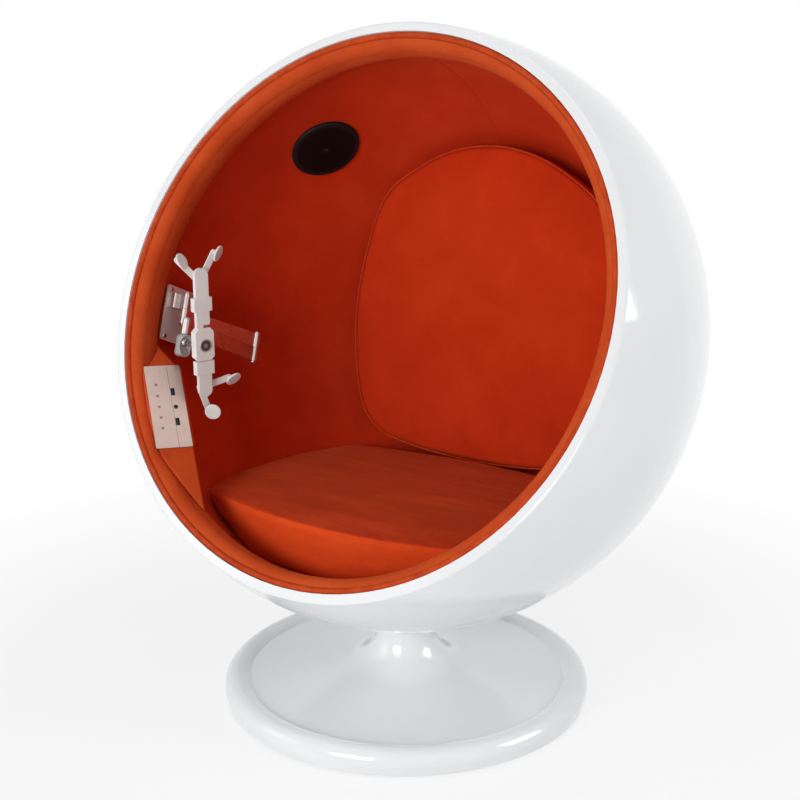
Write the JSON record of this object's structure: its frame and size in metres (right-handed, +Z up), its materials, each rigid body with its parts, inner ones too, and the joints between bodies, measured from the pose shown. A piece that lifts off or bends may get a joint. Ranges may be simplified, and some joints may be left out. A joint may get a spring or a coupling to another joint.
{
  "type": "ball lounge chair",
  "caption": "Ball shaped swivel lounge chair on a trumpet foot, with padded lining and cushions, speakers, a media panel and a folding tablet holder inside.",
  "frame": {"origin": "on the floor, on the swivel axis", "axes": "+Z up along the swivel axis, -Y out of the ball's opening, -X on the sitter's right hand"},
  "size_m": [1.0497, 0.8971, 1.2086],
  "materials": {
    "shell_white": "gloss gelcoat",
    "plate_steel": "black powder coat",
    "pad_rubber": "matte",
    "column_steel": "turned",
    "bush_plastic": "moulded",
    "foam": "soft foam",
    "roll_orange": "felted wool",
    "lining_red": "felted wool",
    "seat_velvet": "velvet",
    "back_velvet": "velvet",
    "welt_orange": "piping",
    "grille_black": "acoustic cloth",
    "basket_black": "stamped",
    "cone_black": "paper cone",
    "magnet_grey": "ferrite",
    "socket_black": "moulded",
    "panel_metal": "brushed",
    "board_green": "laminate",
    "socket_metal": "plated",
    "icon_white": "printed",
    "block_wood": "plywood",
    "polished_steel": "polished",
    "clamp_grey": "moulded",
    "holder_white": "satin",
    "badge_silver": "satin",
    "pad_white": "soft"
  },
  "bodies": {
    "base": {"base_shell": "shell_white", "base_plate": "plate_steel", "floor_pad": "pad_rubber", "column_tube": "column_steel", "upper_bush": "bush_plastic", "lower_bush": "bush_plastic", "thrust_washer": "bush_plastic", "base_screws": "column_steel"},
    "ball": {"swivel_spindle": "column_steel", "retaining_ring": "column_steel", "mount_plate": "plate_steel", "mount_bolts": "column_steel", "outer_shell": "shell_white", "foam_liner": "foam", "fabric_lining": "lining_red", "rim_roll": "roll_orange", "rim_welt": "welt_orange", "seat_block": "foam", "seat_cushion": "seat_velvet", "back_block": "foam", "back_cushion": "back_velvet", "power_inlet": "socket_black", "panel_pod": "roll_orange", "touch_plate": "panel_metal", "socket_plate": "panel_metal", "panel_housing": "socket_black", "circuit_board": "board_green", "usb_sockets": "socket_metal", "audio_jack": "socket_black", "touch_icons": "icon_white", "wall_block": "block_wood", "wall_plate": "polished_steel", "plate_screws": "column_steel", "wall_bracket": "polished_steel", "shoulder_pin": "column_steel", "speaker_basket_left": "basket_black", "speaker_cone_left": "cone_black", "speaker_magnet_left": "magnet_grey", "speaker_grille_left": "grille_black", "speaker_basket_right": "basket_black", "speaker_cone_right": "cone_black", "speaker_magnet_right": "magnet_grey", "speaker_grille_right": "grille_black"},
    "inner_arm": {"arm_link_1": "polished_steel", "elbow_pin": "column_steel"},
    "outer_arm": {"arm_link_2": "polished_steel"},
    "clamp": {"ball_clamp": "clamp_grey"},
    "stud": {"ball_stud": "column_steel"},
    "holder": {"holder_body": "holder_white", "holder_badge": "badge_silver"},
    "upper_slider": {"upper_bar": "holder_white"},
    "lower_slider": {"lower_bar": "holder_white"},
    "upper_left_claw": {"claw_upper_left": "holder_white", "claw_pad_upper_left": "pad_white"},
    "upper_right_claw": {"claw_upper_right": "holder_white", "claw_pad_upper_right": "pad_white"},
    "lower_right_claw": {"claw_lower_right": "holder_white", "claw_pad_lower_right": "pad_white"},
    "lower_left_claw": {"claw_lower_left": "holder_white", "claw_pad_lower_left": "pad_white"}
  },
  "joints": [
    {"name": "swivel", "type": "hinge", "parent": "base", "child": "ball", "pos_m": [0, 0, 0.1], "axis": [0, 0, 1], "continuous": true},
    {"name": "arm_shoulder", "type": "hinge", "parent": "ball", "child": "inner_arm", "pos_m": [-0.41973, -0.10465, 0.68175], "axis": [0.0924, -0.3986, -0.9124], "range_deg": [0, 45]},
    {"name": "arm_elbow", "type": "hinge", "parent": "inner_arm", "child": "outer_arm", "pos_m": [-0.39907, 0.07434, 0.5892], "axis": [-0.0924, 0.3986, 0.9124], "range_deg": [0, 85]},
    {"name": "holder_pan", "type": "hinge", "parent": "outer_arm", "child": "clamp", "pos_m": [-0.37323, -0.15227, 0.67438], "axis": [-0.0924, 0.3986, 0.9124], "range_deg": [-30, 40]},
    {"name": "holder_tilt", "type": "hinge", "parent": "clamp", "child": "stud", "pos_m": [-0.3708, -0.16276, 0.65039], "axis": [0.342, 0.9397, 0], "range_deg": [-22, 14]},
    {"name": "holder_turn", "type": "hinge", "parent": "stud", "child": "holder", "pos_m": [-0.3708, -0.16276, 0.65039], "axis": [0.9397, -0.342, 0], "range_deg": [0, 90]},
    {"name": "upper_bar_slide", "type": "slide", "parent": "holder", "child": "upper_slider", "axis": [0, 0, 1], "range_m": [-0.028, 0.012]},
    {"name": "lower_bar_slide", "type": "slide", "parent": "holder", "child": "lower_slider", "axis": [0, 0, -1], "range_m": [0, 0.028]},
    {"name": "upper_left_claw_pivot", "type": "hinge", "parent": "upper_slider", "child": "upper_left_claw", "pos_m": [-0.30625, -0.19328, 0.77839], "axis": [0.9397, -0.342, 0], "range_deg": [-30, 30]},
    {"name": "upper_right_claw_pivot", "type": "hinge", "parent": "upper_slider", "child": "upper_right_claw", "pos_m": [-0.30173, -0.18087, 0.77839], "axis": [0.9397, -0.342, 0], "range_deg": [-30, 30]},
    {"name": "lower_right_claw_pivot", "type": "hinge", "parent": "lower_slider", "child": "lower_right_claw", "pos_m": [-0.30173, -0.18087, 0.58139], "axis": [0.9397, -0.342, 0], "range_deg": [-30, 30]},
    {"name": "lower_left_claw_pivot", "type": "hinge", "parent": "lower_slider", "child": "lower_left_claw", "pos_m": [-0.30625, -0.19328, 0.58139], "axis": [0.9397, -0.342, 0], "range_deg": [-18, 5]}
  ]
}
